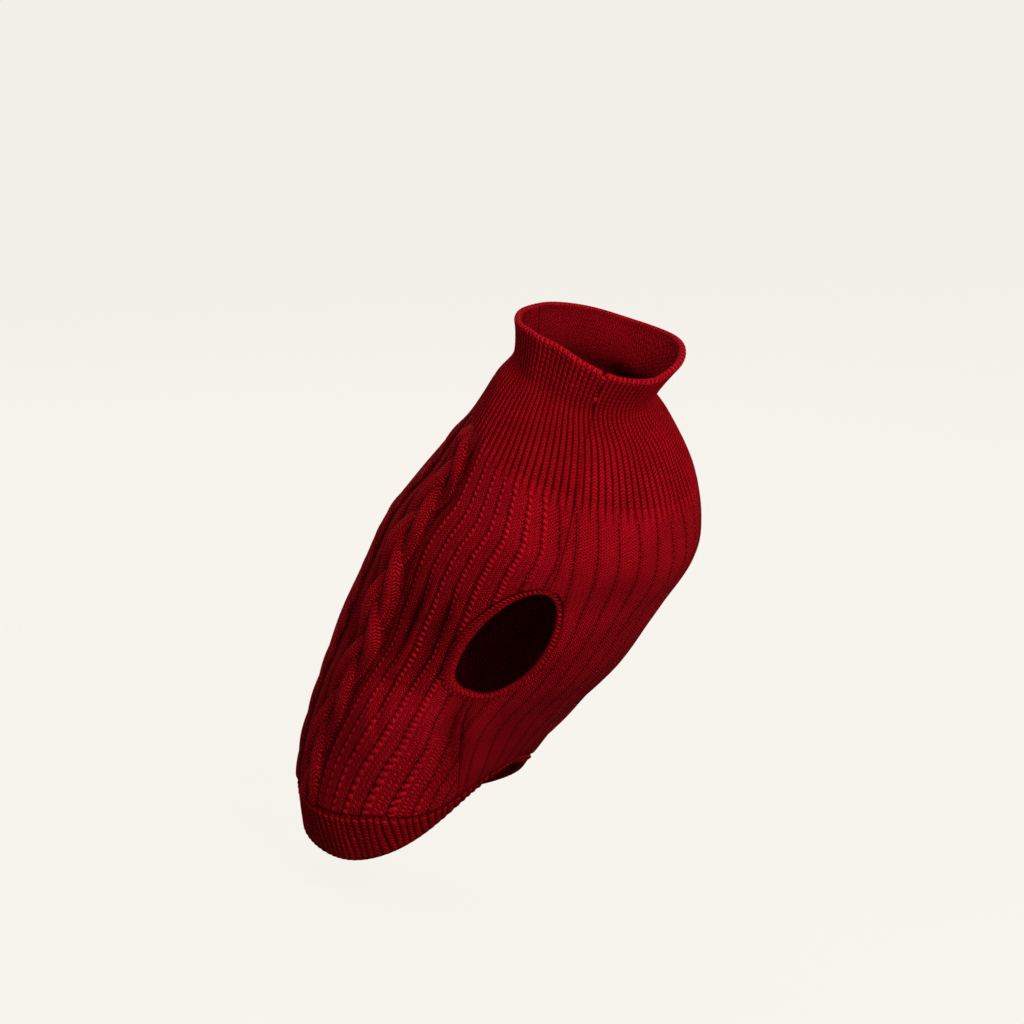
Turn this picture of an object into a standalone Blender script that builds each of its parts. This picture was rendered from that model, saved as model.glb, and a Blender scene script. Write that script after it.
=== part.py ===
"""Dog sweater: a funnel-necked, sleeveless cable-knit sweater for a large dog, held in its worn form.

World frame in metres: +Z up, the wearer faces -Y, the wearer's left is +X. The origin is the middle
of the neck opening at its narrowest, where the wearer holds the sweater up.

Every piece lies on one tube, the skin. A place on it has two numbers: `along`, the distance from the
rim down the side, and `turn`, the angle round the tube from the spine towards the wearer's right.
"""

import math

import bpy
import numpy as np

WALL = 0.004  # chunky knit, pressed flat
SEAM_GAP = 0.0004
HEM_GAP = 0.0012  # measured along, where the seam runs aslant
SEAM_TURN = math.radians(0.1)  # half the gap between two panels, as an angle round the tube
BAND_GAP_TURN = math.degrees(3 * SEAM_TURN)  # between a panel and an armhole band
NUDGE = 1e-5  # step for slopes of the skin

# Wool sections from the rim to the hem. back and front are the spine and the midline of the chest.
SECTIONS = {  # along: back_y, back_z, front_y, front_z, half_width, egg, sag
    "rim": (0.000, 0.068, 0.059, -0.090, -0.001, 0.085, 0.00, 0.000),
    "neck": (0.036, 0.069, 0.026, -0.067, -0.034, 0.075, 0.00, 0.000),
    "yoke": (0.080, 0.089, -0.001, -0.087, -0.071, 0.095, 0.00, -0.001),
    "join": (0.140, 0.117, -0.039, -0.107, -0.124, 0.117, -0.04, -0.004),
    "chest": (0.210, 0.161, -0.089, -0.114, -0.183, 0.129, -0.04, -0.001),
    "ribs": (0.300, 0.226, -0.159, -0.074, -0.245, 0.131, 0.02, -0.001),
    "flank": (0.400, 0.284, -0.256, -0.019, -0.318, 0.127, 0.00, 0.001),
    "loin": (0.500, 0.334, -0.367, 0.038, -0.375, 0.119, 0.02, 0.001),
    "rump": (0.600, 0.376, -0.488, 0.080, -0.419, 0.097, 0.15, 0.047),
    "hem": (0.643, 0.370, -0.536, 0.098, -0.438, 0.093, 0.15, 0.060),
}

LEFT_SAG = 0.4  # the left thigh draws its side of the hem down this much as far as the right one does

# The rim stands higher on the right and flares on the left in front.
RIM_WAVES = {  # turn, spread, rise, flare
    "right": (95, 45, 0.018, 0.000),
    "left_front": (232, 38, 0.017, 0.008),
}

# Folds behind the leg holes, each a trough with a soft ridge on both sides.
FOLDS = {  # top_along, top_turn, low_along, low_turn, reach, depth
    "right_cable_edge": (0.290, 75, 0.450, 84, 0.008, 0.004),
    "right_first": (0.300, 86, 0.420, 93, 0.008, 0.006),
    "right_second": (0.320, 95, 0.470, 102, 0.009, 0.007),
    "right_third": (0.370, 103, 0.500, 112, 0.009, 0.006),
    "right_flank": (0.420, 116, 0.590, 127, 0.014, 0.009),
    "left_cable_edge": (0.300, -76, 0.430, -83, 0.008, 0.004),
    "left_first": (0.310, -88, 0.440, -95, 0.009, 0.006),
    "left_second": (0.350, -98, 0.490, -107, 0.009, 0.007),
    "left_flank": (0.450, -117, 0.590, -127, 0.012, 0.008),
}
FOLD_RADIUS = 0.14  # turns an angle into a distance across a fold
FOLD_FADE = 1.3
RIDGE_SHARE = 0.4
RIDGE_AT = 2.1

# Side seams, from the collar to the hem.
SIDE_SEAM = {  # along, turn
    "collar": (0.140, 127.5),
    "shoulder": (0.200, 126.0),
    "leg_top": (0.265, 128.0),
    "leg_bottom": (0.450, 128.0),
    "belly": (0.540, 133.0),
    "hem": (0.643, 136.0),
}

# Leg holes as the panels leave them, and the band's inner edge.
LEG_TURN = 128.0
LEG_ALONG = 0.3575
LEG_HALF = 0.0925
LEG_REAR, LEG_REAR_LEAN = 20.5, 0.33
LEG_FRONT, LEG_FRONT_LEAN = 16.5, 0.15
BAND_END = 0.009
BAND_REAR = 4.8
BAND_FRONT = 2.0

# Hem band: full depth over the back and thighs, drawn in under the belly.
HEM_ALONG = 0.643
HEM_DEPTH = 0.047
HEM_NARROW = 0.024
HEM_FULL_TO, HEM_NARROW_FROM = 88.0, 132.0

ROWS_ABOVE_LEG = 5
ROWS_AT_LEG = 12
ROWS_BELOW_LEG = 8
COLLAR_ROWS = (0.0, 0.006, 0.018, 0.030, 0.042, 0.056, 0.074, 0.096, 0.118, SIDE_SEAM["collar"][0] - SEAM_GAP)
# Shares of the way from the spine to the side seam, closer together where the folds are.
FLAT_COLUMNS = (0.0, 0.10, 0.20, 0.30, 0.40, 0.49, 0.56)
FOLDED_COLUMNS = (0.61, 0.66, 0.705, 0.75, 0.795, 0.84, 0.885, 0.935, 1.0)
BACK_COLUMNS = FLAT_COLUMNS + FOLDED_COLUMNS
CHEST_COLUMNS = 14
BAND_STRIPS = 2
HEM_SHARES = (0.0, 0.5, 1.0)

WOOL_ROUGHNESS = 0.9
PIECES = {  # red, green, blue, alpha
    "collar": (0.300, 0.006, 0.016, 1.0),
    "back_panel": (0.330, 0.007, 0.018, 1.0),
    "chest_panel": (0.280, 0.005, 0.014, 1.0),
    "hem_band": (0.260, 0.005, 0.014, 1.0),
    "armhole_band_right": (0.350, 0.008, 0.020, 1.0),
    "armhole_band_left": (0.350, 0.008, 0.020, 1.0),
}


def clear_scene():
    for thing in list(bpy.data.objects):
        bpy.data.objects.remove(thing)


def smooth_step(value):
    value = np.clip(value, 0.0, 1.0)
    return value * value * (3.0 - 2.0 * value)


def through(places, stations, values):
    """A smooth curve through the values at the stations, read at the places (any shape)."""
    places = np.asarray(places, float)
    gaps = np.diff(stations)[:, None]
    slopes = np.diff(values, axis=0) / gaps
    tangents = np.empty_like(values)
    tangents[0] = slopes[0]
    tangents[-1] = slopes[-1]
    tangents[1:-1] = (gaps[1:] * slopes[:-1] + gaps[:-1] * slopes[1:]) / (gaps[1:] + gaps[:-1])
    flat = places.ravel()
    index = np.clip(np.searchsorted(stations, flat, side="right") - 1, 0, len(stations) - 2)
    gap = gaps[index]
    u = (flat - stations[index])[:, None] / gap
    found = (
        (2 * u**3 - 3 * u**2 + 1) * values[index]
        + (u**3 - 2 * u**2 + u) * gap * tangents[index]
        + (3 * u**2 - 2 * u**3) * values[index + 1]
        + (u**3 - u**2) * gap * tangents[index + 1]
    )
    return found.reshape(places.shape + (values.shape[1],))


def columns_of(table):
    rows = np.array(list(table.values()), float)
    return rows[:, 0], rows[:, 1:]


def plain_skin(along, turn):
    """The tube without folds: points for arrays of along and turn (radians)."""
    row = through(along, *columns_of(SECTIONS))
    back, front = row[..., 0:2], row[..., 2:4]
    half_width, egg, sag = row[..., 4], row[..., 5], row[..., 6]
    middle = (back + front) / 2
    half = (back - front) / 2
    # Down the body, square to the line from the chest to the spine.
    down = np.stack([half[..., 1], -half[..., 0]], -1)
    down /= np.linalg.norm(down, axis=-1, keepdims=True)
    cosine, sine = np.cos(turn), np.sin(turn)
    sag = sag * np.where(sine < 0, LEFT_SAG, 1.0)
    side = middle + half * cosine[..., None] + down * (sag * sine**2)[..., None]
    x = -half_width * sine * (1 + egg * cosine)
    return np.stack([x, side[..., 0], side[..., 1]], -1)


def rim_lift(along, turn):
    """Rise and flare of the rim, fading out at the narrow of the neck."""
    fade = 1 - smooth_step(along / SECTIONS["neck"][0])
    rise = np.zeros_like(along)
    flare = np.zeros_like(along)
    for middle, spread, up, out in RIM_WAVES.values():
        away = (np.degrees(turn) - middle + 180) % 360 - 180
        wave = np.exp(-((away / spread) ** 2)) * fade
        rise += up * wave
        flare += out * wave
    return rise, flare


def fold_relief(along, turn):
    """Height of the folds over the plain skin, negative in a trough."""
    height = np.zeros_like(along)
    for top_along, top_turn, low_along, low_turn, reach, depth in FOLDS.values():
        share = (along - top_along) / (low_along - top_along)
        middle = np.radians(top_turn + (low_turn - top_turn) * share)
        away = ((turn - middle + math.pi) % (2 * math.pi) - math.pi) * FOLD_RADIUS
        strength = depth * np.sin(np.pi * np.clip(share, 0, 1)) ** FOLD_FADE
        trough = np.exp(-((away / reach) ** 2))
        ridge = np.exp(-(((np.abs(away) - RIDGE_AT * reach) / reach) ** 2))
        height += strength * (RIDGE_SHARE * ridge - trough)
    return height


def outward(surface, along, turn):
    """Unit normals of a surface function, pointing away from the wearer."""
    down = surface(along + NUDGE, turn) - surface(along - NUDGE, turn)
    around = surface(along, turn + NUDGE) - surface(along, turn - NUDGE)
    normal = np.cross(down, around)
    return normal / np.linalg.norm(normal, axis=-1, keepdims=True)


def skin(along, turn):
    """The outer face of the wool."""
    normal = outward(plain_skin, along, turn)
    rise, flare = rim_lift(along, turn)
    back, front = np.array(SECTIONS["neck"][1:3]), np.array(SECTIONS["neck"][3:5])
    across = (back - front) / np.linalg.norm(back - front)
    neck_up = np.array([0.0, -across[1], across[0]])
    out = (fold_relief(along, turn) + flare)[..., None] * normal
    return plain_skin(along, turn) + out + rise[..., None] * neck_up


def wall_points(along, turn):
    """Outer and inner points of the wall at each place."""
    outer = skin(along, turn)
    return outer, outer - WALL * outward(skin, along, turn)


def shell(name, along, turn, ring=False):
    """A closed wall over a grid of places, whose columns may close on themselves."""
    outer, inner = wall_points(along, turn)
    rows, columns = along.shape
    points = np.concatenate([outer.reshape(-1, 3), inner.reshape(-1, 3)])
    inside = rows * columns
    faces = []
    last_column = columns if ring else columns - 1
    for i in range(rows - 1):
        for j in range(last_column):
            a = i * columns + j
            b = i * columns + (j + 1) % columns
            c = b + columns
            d = a + columns
            faces.append((a, d, c, b))
            faces.append((a + inside, b + inside, c + inside, d + inside))
    for j in range(last_column):
        a, b = j, (j + 1) % columns
        faces.append((a, b, b + inside, a + inside))
        c, d = (rows - 1) * columns + j, (rows - 1) * columns + (j + 1) % columns
        faces.append((d, c, c + inside, d + inside))
    if not ring:
        for i in range(rows - 1):
            a, b = i * columns, (i + 1) * columns
            faces.append((b, a, a + inside, b + inside))
            c, d = a + columns - 1, b + columns - 1
            faces.append((c, d, d + inside, c + inside))
    mesh = bpy.data.meshes.new(name)
    mesh.from_pydata([tuple(p) for p in points], [], faces)
    mesh.shade_smooth()
    piece = bpy.data.objects.new(name, mesh)
    piece.data.materials.append(wool(name))
    return piece


def wool(name):
    material = bpy.data.materials.new(name + "_wool")
    material.use_nodes = True
    surface = material.node_tree.nodes["Principled BSDF"]
    surface.inputs["Base Color"].default_value = PIECES[name]
    surface.inputs["Roughness"].default_value = WOOL_ROUGHNESS
    surface.inputs["Metallic"].default_value = 0.0
    return material


def seam_turn(along):
    """Where the side seam runs, in radians."""
    return np.radians(through(along, *columns_of(SIDE_SEAM))[..., 0])


def leg_edge(share, side, half, rear, front):
    """Turn of the leg hole's edge at a share of the way round, 0 at its top and pi at its bottom."""
    reach = -rear * (1 - LEG_REAR_LEAN * np.cos(share))
    if side == "front":
        reach = front * (1 - LEG_FRONT_LEAN * np.cos(share))
    return np.radians(LEG_TURN + reach * np.sin(share)), LEG_ALONG - half * np.cos(share)


def hem_top(turn):
    """Where the hem band starts, measured along."""
    away = np.abs((np.degrees(turn) + 180) % 360 - 180)
    narrow = smooth_step((away - HEM_FULL_TO) / (HEM_NARROW_FROM - HEM_FULL_TO))
    return HEM_ALONG - HEM_DEPTH + (HEM_DEPTH - HEM_NARROW) * narrow


def panel_rows():
    """The along of each row down to the leg hole's bottom, and the share of each row below it."""
    top = np.linspace(SIDE_SEAM["collar"][0], LEG_ALONG - LEG_HALF, ROWS_ABOVE_LEG + 1)[:-1]
    shares = np.linspace(0, math.pi, ROWS_AT_LEG + 1)
    leg = LEG_ALONG - LEG_HALF * np.cos(shares)
    below = np.linspace(0, 1, ROWS_BELOW_LEG + 1)[1:]
    return top, shares, leg, below


def panel_places(across, side):
    """Grid of places for a panel. across runs from the panel's middle (0) to its right edge (1)."""
    top, shares, leg, below = panel_rows()
    rows = np.concatenate([top, leg, LEG_ALONG + LEG_HALF + below * (HEM_ALONG - LEG_ALONG - LEG_HALF)])
    edge = seam_turn(rows)
    edge[len(top) : len(top) + len(leg)] = leg_edge(shares, side, LEG_HALF, LEG_REAR, LEG_FRONT)[0]
    if side == "rear":
        turn = (edge - SEAM_TURN)[:, None] * across[None, :]
    else:
        turn = math.pi - (math.pi - edge - SEAM_TURN)[:, None] * across[None, :]
    along = np.repeat(rows[:, None], len(across), axis=1)
    # Below the leg hole the rows close up towards the hem band.
    start = LEG_ALONG + LEG_HALF
    lowest = hem_top(turn) - HEM_GAP
    low = slice(len(top) + len(leg), None)
    along[low] = start + below[:, None] * (lowest[low] - start)
    along[0] += SEAM_GAP / 2
    return along, turn


def back_across():
    half = np.array(BACK_COLUMNS)
    return np.concatenate([-half[:0:-1], half])


def chest_across():
    return np.linspace(1, -1, CHEST_COLUMNS + 1)


def build_back_panel():
    along, turn = panel_places(back_across(), "rear")
    return shell("back_panel", along, turn)


def build_chest_panel():
    along, turn = panel_places(chest_across(), "front")
    return shell("chest_panel", along, turn)


def round_turns(edge):
    """Turns once round the tube, meeting the columns of both panels."""
    rear = (edge - SEAM_TURN) * back_across()
    front = math.pi - (math.pi - edge - SEAM_TURN) * chest_across()
    return np.concatenate([rear, front])


def build_collar():
    turns = round_turns(seam_turn(np.array([SIDE_SEAM["collar"][0]]))[0])
    along, turn = np.meshgrid(np.array(COLLAR_ROWS) - SEAM_GAP / 2, turns, indexing="ij")
    return shell("collar", np.maximum(along, 0), turn, ring=True)


def build_hem_band():
    turns = round_turns(seam_turn(np.array([HEM_ALONG]))[0])
    shares = np.array(HEM_SHARES)[:, None]
    top = hem_top(turns)[None, :]
    along = top + shares * (HEM_ALONG - top)
    turn = np.repeat(turns[None, :], len(shares), axis=0)
    return shell("hem_band", along, turn, ring=True)


def build_armhole_band(name, mirror):
    """A knitted band round a leg hole, wide behind the leg and narrow in front of it."""
    shares = np.linspace(0, math.pi, ROWS_AT_LEG + 1)
    strips = []
    for step in np.linspace(0, 1, BAND_STRIPS + 1):
        half = LEG_HALF - SEAM_GAP - BAND_END * step
        rear = LEG_REAR - BAND_GAP_TURN - BAND_REAR * step
        front = LEG_FRONT - BAND_GAP_TURN - BAND_FRONT * step
        down_turn, down_along = leg_edge(shares, "rear", half, rear, front)
        up_turn, up_along = leg_edge(shares[-2:0:-1], "front", half, rear, front)
        strips.append((np.concatenate([down_along, up_along]), np.concatenate([down_turn, up_turn])))
    along = np.array([strip[0] for strip in strips])
    turn = np.array([strip[1] for strip in strips]) * mirror
    if mirror > 0:
        along, turn = along[:, ::-1], turn[:, ::-1]
    return shell(name, along, turn, ring=True)


def main():
    clear_scene()
    sweater = bpy.data.collections.new("dog_sweater")
    bpy.context.scene.collection.children.link(sweater)
    for piece in (
        build_collar(),
        build_back_panel(),
        build_chest_panel(),
        build_hem_band(),
        build_armhole_band("armhole_band_right", 1),
        build_armhole_band("armhole_band_left", -1),
    ):
        sweater.objects.link(piece)


main()
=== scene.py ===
"""The looks of the dog sweater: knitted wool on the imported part's own skin, with a pale studio round it."""

import math

import bpy
import numpy as np
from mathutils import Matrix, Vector


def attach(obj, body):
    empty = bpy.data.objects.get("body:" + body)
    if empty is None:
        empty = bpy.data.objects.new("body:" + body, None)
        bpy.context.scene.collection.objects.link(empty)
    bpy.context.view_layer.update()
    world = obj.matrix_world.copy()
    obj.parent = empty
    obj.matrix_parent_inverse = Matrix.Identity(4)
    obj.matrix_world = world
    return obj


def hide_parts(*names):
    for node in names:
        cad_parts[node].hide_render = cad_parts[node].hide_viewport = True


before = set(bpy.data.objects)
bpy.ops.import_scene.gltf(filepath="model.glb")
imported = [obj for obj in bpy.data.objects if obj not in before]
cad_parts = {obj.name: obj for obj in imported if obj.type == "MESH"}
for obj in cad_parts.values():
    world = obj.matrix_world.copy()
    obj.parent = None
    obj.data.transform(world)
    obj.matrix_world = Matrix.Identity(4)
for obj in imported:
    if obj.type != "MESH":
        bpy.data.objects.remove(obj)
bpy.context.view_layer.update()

# ---------------------------------------------------------------- the skin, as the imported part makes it
NUDGE = 1e-5
SECTIONS = {  # along: back_y, back_z, front_y, front_z, half_width, egg, sag
    "rim": (0.000, 0.068, 0.059, -0.090, -0.001, 0.085, 0.00, 0.000),
    "neck": (0.036, 0.069, 0.026, -0.067, -0.034, 0.075, 0.00, 0.000),
    "yoke": (0.080, 0.089, -0.001, -0.087, -0.071, 0.095, 0.00, -0.001),
    "join": (0.140, 0.117, -0.039, -0.107, -0.124, 0.117, -0.04, -0.004),
    "chest": (0.210, 0.161, -0.089, -0.114, -0.183, 0.129, -0.04, -0.001),
    "ribs": (0.300, 0.226, -0.159, -0.074, -0.245, 0.131, 0.02, -0.001),
    "flank": (0.400, 0.284, -0.256, -0.019, -0.318, 0.127, 0.00, 0.001),
    "loin": (0.500, 0.334, -0.367, 0.038, -0.375, 0.119, 0.02, 0.001),
    "rump": (0.600, 0.376, -0.488, 0.080, -0.419, 0.097, 0.15, 0.047),
    "hem": (0.643, 0.370, -0.536, 0.098, -0.438, 0.093, 0.15, 0.060),
}
LEFT_SAG = 0.4
RIM_WAVES = {  # turn, spread, rise, flare
    "near_side": (95, 45, 0.018, 0.000),
    "far_front": (232, 38, 0.017, 0.008),
}
SIDE_SEAM = {  # along, turn
    "collar": (0.140, 127.5),
    "shoulder": (0.200, 126.0),
    "leg_top": (0.265, 128.0),
    "leg_bottom": (0.450, 128.0),
    "belly": (0.540, 133.0),
    "hem": (0.643, 136.0),
}
LEG_TURN, LEG_ALONG, LEG_HALF = 128.0, 0.3575, 0.0925
LEG_REAR, LEG_REAR_LEAN = 20.5, 0.33
LEG_FRONT, LEG_FRONT_LEAN = 16.5, 0.15
BAND_END, BAND_REAR, BAND_FRONT = 0.009, 4.8, 2.0
JOIN, HEM_ALONG = 0.140, 0.643
HEM_DEPTH, HEM_NARROW = 0.047, 0.024
HEM_FULL_TO, HEM_NARROW_FROM = 88.0, 132.0
SEAM_GAP = 0.0004
SEAM_TURN = math.radians(0.1)

# Creases: troughs with a soft ridge on both sides, in metres and degrees of turn.
CREASES = {  # top_along, top_turn, low_along, low_turn, reach, depth
    "right_cable_edge": (0.285, 75, 0.455, 84, 0.009, 0.0055),
    "right_first": (0.295, 84, 0.430, 88, 0.007, 0.0060),
    "right_second": (0.315, 96, 0.460, 100, 0.008, 0.0065),
    "right_third": (0.345, 104, 0.450, 108, 0.008, 0.0060),
    "right_flank": (0.430, 124, 0.600, 131, 0.013, 0.0070),
    "right_short": (0.440, 91, 0.530, 96, 0.006, 0.0030),
    "right_withers": (0.150, 62, 0.270, 66, 0.010, 0.0025),
    "right_braid_inner": (0.330, 54, 0.470, 60, 0.010, 0.0030),
    "left_cable_edge": (0.300, -76, 0.430, -83, 0.008, 0.0045),
    "left_first": (0.310, -88, 0.440, -95, 0.008, 0.0070),
    "left_second": (0.350, -98, 0.490, -107, 0.008, 0.0080),
    "left_flank": (0.440, -116, 0.590, -127, 0.012, 0.0100),
    "left_short": (0.400, -109, 0.500, -114, 0.006, 0.0035),
    "left_withers": (0.170, -60, 0.290, -64, 0.010, 0.0025),
}
FOLD_RADIUS, FOLD_FADE, RIDGE_SHARE, RIDGE_AT = 0.14, 1.3, 0.4, 2.1
# Where the wearer's thighs and shoulders fill the wool.
SWELLS = {  # along, turn, reach, rise
    "right_thigh": (0.505, 103, 0.050, 0.0080),
    "left_thigh": (0.505, -103, 0.050, 0.0080),
    "right_shoulder": (0.215, 105, 0.045, 0.0040),
    "left_shoulder": (0.215, -105, 0.045, 0.0040),
    "behind_right_elbow": (0.370, 97, 0.045, -0.0060),
    "behind_left_elbow": (0.370, -97, 0.045, -0.0060),
}


def smooth_step(value):
    value = np.clip(value, 0.0, 1.0)
    return value * value * (3.0 - 2.0 * value)


def through(places, stations, values):
    """A smooth curve through the values at the stations, read at the places (any shape)."""
    places = np.asarray(places, float)
    gaps = np.diff(stations)[:, None]
    slopes = np.diff(values, axis=0) / gaps
    tangents = np.empty_like(values)
    tangents[0] = slopes[0]
    tangents[-1] = slopes[-1]
    tangents[1:-1] = (gaps[1:] * slopes[:-1] + gaps[:-1] * slopes[1:]) / (gaps[1:] + gaps[:-1])
    flat = places.ravel()
    index = np.clip(np.searchsorted(stations, flat, side="right") - 1, 0, len(stations) - 2)
    gap = gaps[index]
    u = (flat - stations[index])[:, None] / gap
    found = (
        (2 * u**3 - 3 * u**2 + 1) * values[index]
        + (u**3 - 2 * u**2 + u) * gap * tangents[index]
        + (3 * u**2 - 2 * u**3) * values[index + 1]
        + (u**3 - u**2) * gap * tangents[index + 1]
    )
    return found.reshape(places.shape + (values.shape[1],))


def columns_of(rows):
    rows = np.array(list(rows.values()) if isinstance(rows, dict) else rows, float)
    return rows[:, 0], rows[:, 1:]


def plain_skin(along, turn):
    row = through(along, *columns_of(SECTIONS))
    back, front = row[..., 0:2], row[..., 2:4]
    half_width, egg, sag = row[..., 4], row[..., 5], row[..., 6]
    middle = (back + front) / 2
    half = (back - front) / 2
    down = np.stack([half[..., 1], -half[..., 0]], -1)
    down /= np.linalg.norm(down, axis=-1, keepdims=True)
    cosine, sine = np.cos(turn), np.sin(turn)
    sag = sag * np.where(sine < 0, LEFT_SAG, 1.0)
    side = middle + half * cosine[..., None] + down * (sag * sine**2)[..., None]
    x = -half_width * sine * (1 + egg * cosine)
    return np.stack([x, side[..., 0], side[..., 1]], -1)


def rim_lift(along, turn):
    fade = 1 - smooth_step(along / SECTIONS["neck"][0])
    rise = np.zeros_like(along)
    flare = np.zeros_like(along)
    for middle, spread, up, out in RIM_WAVES.values():
        away = (np.degrees(turn) - middle + 180) % 360 - 180
        wave = np.exp(-((away / spread) ** 2)) * fade
        rise += up * wave
        flare += out * wave
    return rise, flare


def crease_relief(along, turn):
    height = np.zeros_like(along)
    for top_along, top_turn, low_along, low_turn, reach, depth in CREASES.values():
        share = (along - top_along) / (low_along - top_along)
        middle = np.radians(top_turn + (low_turn - top_turn) * share)
        away = ((turn - middle + math.pi) % (2 * math.pi) - math.pi) * FOLD_RADIUS
        strength = depth * np.sin(np.pi * np.clip(share, 0, 1)) ** FOLD_FADE
        trough = np.exp(-((away / reach) ** 2))
        ridge = np.exp(-(((np.abs(away) - RIDGE_AT * reach) / reach) ** 2))
        height += strength * (RIDGE_SHARE * ridge - trough)
    for middle_along, middle_turn, reach, rise in SWELLS.values():
        away = (np.degrees(turn) - middle_turn + 180) % 360 - 180
        down, across = along - middle_along, np.radians(away) * FOLD_RADIUS
        height += rise * np.exp(-((down / reach) ** 2) - (across / reach) ** 2)
    # Slow unevenness of worn wool.
    height += 0.0012 * np.sin(along * 41 + 3.0 * np.sin(turn * 2.0)) * np.sin(turn * 5.0 + along * 13)
    return height


def outward(surface, along, turn):
    down = surface(along + NUDGE, turn) - surface(along - NUDGE, turn)
    around = surface(along, turn + NUDGE) - surface(along, turn - NUDGE)
    normal = np.cross(down, around)
    return normal / np.linalg.norm(normal, axis=-1, keepdims=True)


def skin(along, turn):
    normal = outward(plain_skin, along, turn)
    rise, flare = rim_lift(along, turn)
    back, front = np.array(SECTIONS["neck"][1:3]), np.array(SECTIONS["neck"][3:5])
    across = (back - front) / np.linalg.norm(back - front)
    neck_up = np.array([0.0, -across[1], across[0]])
    out = (crease_relief(along, turn) + flare)[..., None] * normal
    return plain_skin(along, turn) + out + rise[..., None] * neck_up


def seam_turn(along):
    return np.radians(through(along, *columns_of(SIDE_SEAM))[..., 0])


def leg_edge(share, side, half, rear, front):
    reach = -rear * (1 - LEG_REAR_LEAN * np.cos(share))
    if side == "front":
        reach = front * (1 - LEG_FRONT_LEAN * np.cos(share))
    return np.radians(LEG_TURN + reach * np.sin(share)), LEG_ALONG - half * np.cos(share)


def hem_top(turn):
    away = np.abs((np.degrees(turn) + 180) % 360 - 180)
    narrow = smooth_step((away - HEM_FULL_TO) / (HEM_NARROW_FROM - HEM_FULL_TO))
    return HEM_ALONG - HEM_DEPTH + (HEM_DEPTH - HEM_NARROW) * narrow


# ---------------------------------------------------------------- knit
# A knit function gives, at each point: lift in metres; wale and row, counted in stitches; rib and ladder,
# the wide ribs and how open the ladder lines between them are; fine_rib and fine, the same for narrow ribs;
# bead, how much of a bead column there is; and tone, painted shade and light, from 0 in a hollow to 1 on a
# crest.
ROW = 0.0037  # one row of stitches, measured along
WALES = 4  # wales in a wide rib, its ladder line counted as one
RIBS_ROUND_COLLAR = 92
RIBS_ROUND_HEM = 98
HEM_LEAN = -0.9  # ribs that the hem slips by, from top to bottom; below 0 is towards the belly
BRAID_HALF = 9.6  # degrees of turn
BRAID_REPEAT = 0.228  # each strand takes six crossings to come back to its side
ROPE_REPEAT = 0.074
LADDER_REACH = 0.075
BEAD_AT, BEAD_REACH = 0.20, 0.10
BEADS_END, BEADS_FADE = 112, 10  # degrees of turn where bead columns start to fade, and over how many
WALE_TURN = 2.3  # degrees of turn to one wale of plain stitches
CHEST_LADDER = 0.75  # ladder lines on the chest are this share as open as the back's
RUN_ON = 0.032  # how far the collar's narrow ribs fade out into a panel
ROW_DRIFT = 0.2  # rows of slow unevenness
GATHER_ALONG, GATHER_LENGTH = 0.385, 0.085  # the pleats behind the leg: middle and reach, down and round
GATHER_TURN, GATHER_SPREAD = 96, 19

# Turns of the plait's middle, the gutter beside it and the six gutters after that, all down the side.
TRACKS = [
    # along, plait, edge, a, b, c, d, e, f
    (0.140, 55.0, 69.5, 76.5, 82.5, 89.5, 95.5, 104.0, 111.0),
    (0.200, 57.5, 72.0, 78.5, 85.5, 92.2, 99.0, 107.5, 115.5),
    (0.270, 60.5, 74.0, 81.5, 88.0, 94.7, 101.7, 110.4, 118.5),
    (0.330, 64.5, 77.0, 84.0, 90.4, 97.0, 104.0, 113.0, 121.0),
    (0.390, 69.0, 80.0, 86.2, 92.5, 99.5, 106.7, 115.7, 123.5),
    (0.450, 70.0, 81.5, 87.5, 93.5, 101.0, 108.8, 118.2, 125.5),
    (0.500, 66.5, 78.5, 85.0, 92.0, 100.0, 108.5, 118.5, 126.5),
    (0.530, 62.0, 72.5, 78.5, 85.5, 94.5, 104.5, 117.0, 126.5),
    (0.560, 57.5, 67.0, 71.5, 77.5, 85.5, 96.5, 110.5, 123.5),
    (0.590, 53.5, 62.5, 66.5, 71.5, 78.0, 88.0, 101.5, 115.5),
    (0.643, 51.0, 60.0, 64.0, 69.0, 75.0, 83.0, 95.0, 108.0),
]
RIB_STEP = 8.0  # degrees, from the last gutter to the side seam

CHEST_GUTTERS = (128.5, 139.0, 149.0, 159.5, 169.8, 180.0)
CHEST_DRAW = [(0.140, 1.0), (0.200, 0.96), (0.330, 0.76), (0.450, 0.74), (0.560, 0.80), (0.643, 0.82)]
COLLAR_SEAM = [(0.0, 137.0), (0.018, 138.0), (0.048, 137.5), (0.072, 131.5), (0.120, 128.5), (0.145, 127.5)]
SEAM_SLIPS = [(0.016, -0.0022, -0.45), (0.025, 0.0030, 0.45), (0.034, -0.0022, -0.45)]  # along, lift, tone
KNIT_KEYS = ("wale", "row", "rib", "ladder", "fine_rib", "fine", "bead", "tone")


def wave(value, power=1.0):
    """0 to 1, with a crest at each whole number."""
    return (0.5 + 0.5 * np.cos(2 * np.pi * value)) ** power


def uneven(along, turn, size=1.0):
    """Slow hand-made wobble, about -1 to 1."""
    return (
        np.sin(along * 83 * size + turn * 7 + 1.3)
        + np.sin(along * 47 * size - turn * 11 + 0.4)
        + np.sin(along * 131 * size + turn * 19)
    ) / 3


def wide_ribs(position, row, beads):
    """Lift and tone of wide ribs with a ladder line at every whole position; the tone is painted light on the
    crown and painted shade in the ladder line.
    """
    part = position - np.floor(position)
    deep = np.exp(-((np.minimum(part, 1 - part) / LADDER_REACH) ** 2))
    crown = 1 - np.abs(2 * part - 1) ** 3
    column = beads * np.exp(-(((part - BEAD_AT) / BEAD_REACH) ** 4)) * wave(row / 2, 0.8)
    return 0.0005 * crown - 0.0008 * deep + 0.0007 * column, 0.50 + 0.08 * crown - 0.07 * deep


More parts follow.
